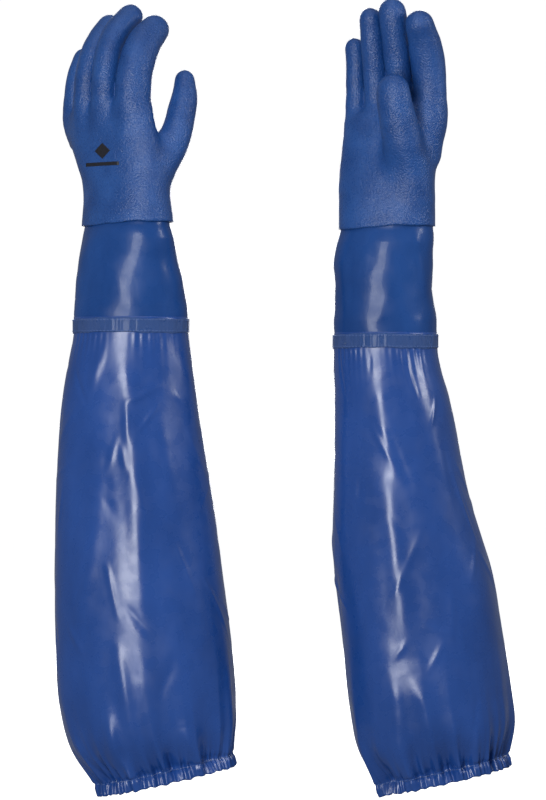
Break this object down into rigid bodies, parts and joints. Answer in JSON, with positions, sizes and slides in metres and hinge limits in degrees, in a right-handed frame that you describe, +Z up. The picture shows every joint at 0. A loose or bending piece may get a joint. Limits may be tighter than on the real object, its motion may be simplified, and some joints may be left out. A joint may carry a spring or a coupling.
{
  "type": "pair of long-sleeved gauntlet gloves",
  "caption": "Pair of arm-length blue PVC gauntlet gloves: rough coated hands, glossy cuffs and thin film sleeves with elastic hems.",
  "frame": {"origin": "centre of the left glove's arm opening, in the plane of its hem", "axes": "+Z up the arm from the opening to the fingertips; +X from the left glove to the right glove; +Y away from the front, so the front shows the back of the left hand and the palm of the right hand"},
  "size_m": [0.4016, 0.106, 0.698],
  "materials": {
    "hand_coat": "matte",
    "cuff_pvc": "gloss",
    "sleeve_pvc": "gloss",
    "band_tape": "satin",
    "knit": "matte",
    "elastic": "matte",
    "thread": "satin",
    "ink": "matte"
  },
  "bodies": {
    "left_sleeve": {"left_sleeve": "sleeve_pvc", "left_seam_band": "band_tape", "left_band_thread_upper": "thread", "left_band_thread_lower": "thread", "left_hem_elastic": "elastic", "left_hem_thread": "thread", "left_cuff": "cuff_pvc", "left_cuff_liner": "knit"},
    "left_hand": {"left_palm_coat": "hand_coat", "left_palm_liner": "knit", "left_print_mark": "ink"},
    "left_thumb": {"left_thumb_coat": "hand_coat", "left_thumb_liner": "knit"},
    "left_index": {"left_index_coat": "hand_coat", "left_index_liner": "knit"},
    "left_middle": {"left_middle_coat": "hand_coat", "left_middle_liner": "knit"},
    "left_ring": {"left_ring_coat": "hand_coat", "left_ring_liner": "knit"},
    "left_little": {"left_little_coat": "hand_coat", "left_little_liner": "knit"},
    "right_sleeve": {"right_sleeve": "sleeve_pvc", "right_seam_band": "band_tape", "right_band_thread_upper": "thread", "right_band_thread_lower": "thread", "right_hem_elastic": "elastic", "right_hem_thread": "thread", "right_cuff": "cuff_pvc", "right_cuff_liner": "knit"},
    "right_hand": {"right_palm_coat": "hand_coat", "right_palm_liner": "knit", "right_print_mark": "ink"},
    "right_thumb": {"right_thumb_coat": "hand_coat", "right_thumb_liner": "knit"},
    "right_index": {"right_index_coat": "hand_coat", "right_index_liner": "knit"},
    "right_middle": {"right_middle_coat": "hand_coat", "right_middle_liner": "knit"},
    "right_ring": {"right_ring_coat": "hand_coat", "right_ring_liner": "knit"},
    "right_little": {"right_little_coat": "hand_coat", "right_little_liner": "knit"}
  },
  "joints": [
    {"name": "right_glove_pulls_off", "type": "slide", "parent": "left_sleeve", "child": "right_sleeve", "axis": [0, 0, 1], "range_m": [0, 0.7]},
    {"name": "left_wrist_bend", "type": "hinge", "parent": "left_sleeve", "child": "left_hand", "pos_m": [-0.0346, 0, 0.454], "axis": [1, 0, 0], "range_deg": [-35, 35], "stiffness_Nm_per_rad": 1, "deforming": ["left_cuff", "left_cuff_liner"]},
    {"name": "left_thumb_bend", "type": "hinge", "parent": "left_hand", "child": "left_thumb", "pos_m": [0.01999, 0.00993, 0.58489], "axis": [-0.7621, 0.6471, 0.0218], "range_deg": [0, 45], "stiffness_Nm_per_rad": 0.12},
    {"name": "left_index_bend", "type": "hinge", "parent": "left_hand", "child": "left_index", "pos_m": [-0.01794, 0.00074, 0.61642], "axis": [-0.766, 0.6428, 0], "range_deg": [0, 60], "stiffness_Nm_per_rad": 0.12},
    {"name": "left_middle_bend", "type": "hinge", "parent": "left_hand", "child": "left_middle", "pos_m": [-0.04778, 0.00656, 0.61716], "axis": [-0.766, 0.6428, 0], "range_deg": [0, 60], "stiffness_Nm_per_rad": 0.12},
    {"name": "left_ring_bend", "type": "hinge", "parent": "left_hand", "child": "left_ring", "pos_m": [-0.0643, 0.02265, 0.61469], "axis": [-0.766, 0.6428, 0], "range_deg": [0, 60], "stiffness_Nm_per_rad": 0.12},
    {"name": "left_little_bend", "type": "hinge", "parent": "left_hand", "child": "left_little", "pos_m": [-0.07666, 0.04183, 0.60068], "axis": [-0.766, 0.6428, 0], "range_deg": [0, 60], "stiffness_Nm_per_rad": 0.12},
    {"name": "right_wrist_bend", "type": "hinge", "parent": "right_sleeve", "child": "right_hand", "pos_m": [0.1895, 0, 0.448], "axis": [1, 0, 0], "range_deg": [-35, 35], "stiffness_Nm_per_rad": 1, "deforming": ["right_cuff", "right_cuff_liner"]},
    {"name": "right_thumb_bend", "type": "hinge", "parent": "right_hand", "child": "right_thumb", "pos_m": [0.1945, -0.0483, 0.57476], "axis": [0.8965, -0.4391, 0.0585], "range_deg": [0, 45], "stiffness_Nm_per_rad": 0.12},
    {"name": "right_index_bend", "type": "hinge", "parent": "right_hand", "child": "right_index", "pos_m": [0.22289, -0.02171, 0.61315], "axis": [0.9063, -0.4226, 0], "range_deg": [0, 60], "stiffness_Nm_per_rad": 0.12},
    {"name": "right_middle_bend", "type": "hinge", "parent": "right_hand", "child": "right_middle", "pos_m": [0.19713, -0.01425, 0.62342], "axis": [0.9063, -0.4226, 0], "range_deg": [0, 60], "stiffness_Nm_per_rad": 0.12},
    {"name": "right_ring_bend", "type": "hinge", "parent": "right_hand", "child": "right_ring", "pos_m": [0.17728, -0.00238, 0.62614], "axis": [0.9063, -0.4226, 0], "range_deg": [0, 60], "stiffness_Nm_per_rad": 0.12},
    {"name": "right_little_bend", "type": "hinge", "parent": "right_hand", "child": "right_little", "pos_m": [0.16189, 0.01311, 0.61363], "axis": [0.9063, -0.4226, 0], "range_deg": [0, 60], "stiffness_Nm_per_rad": 0.12}
  ]
}
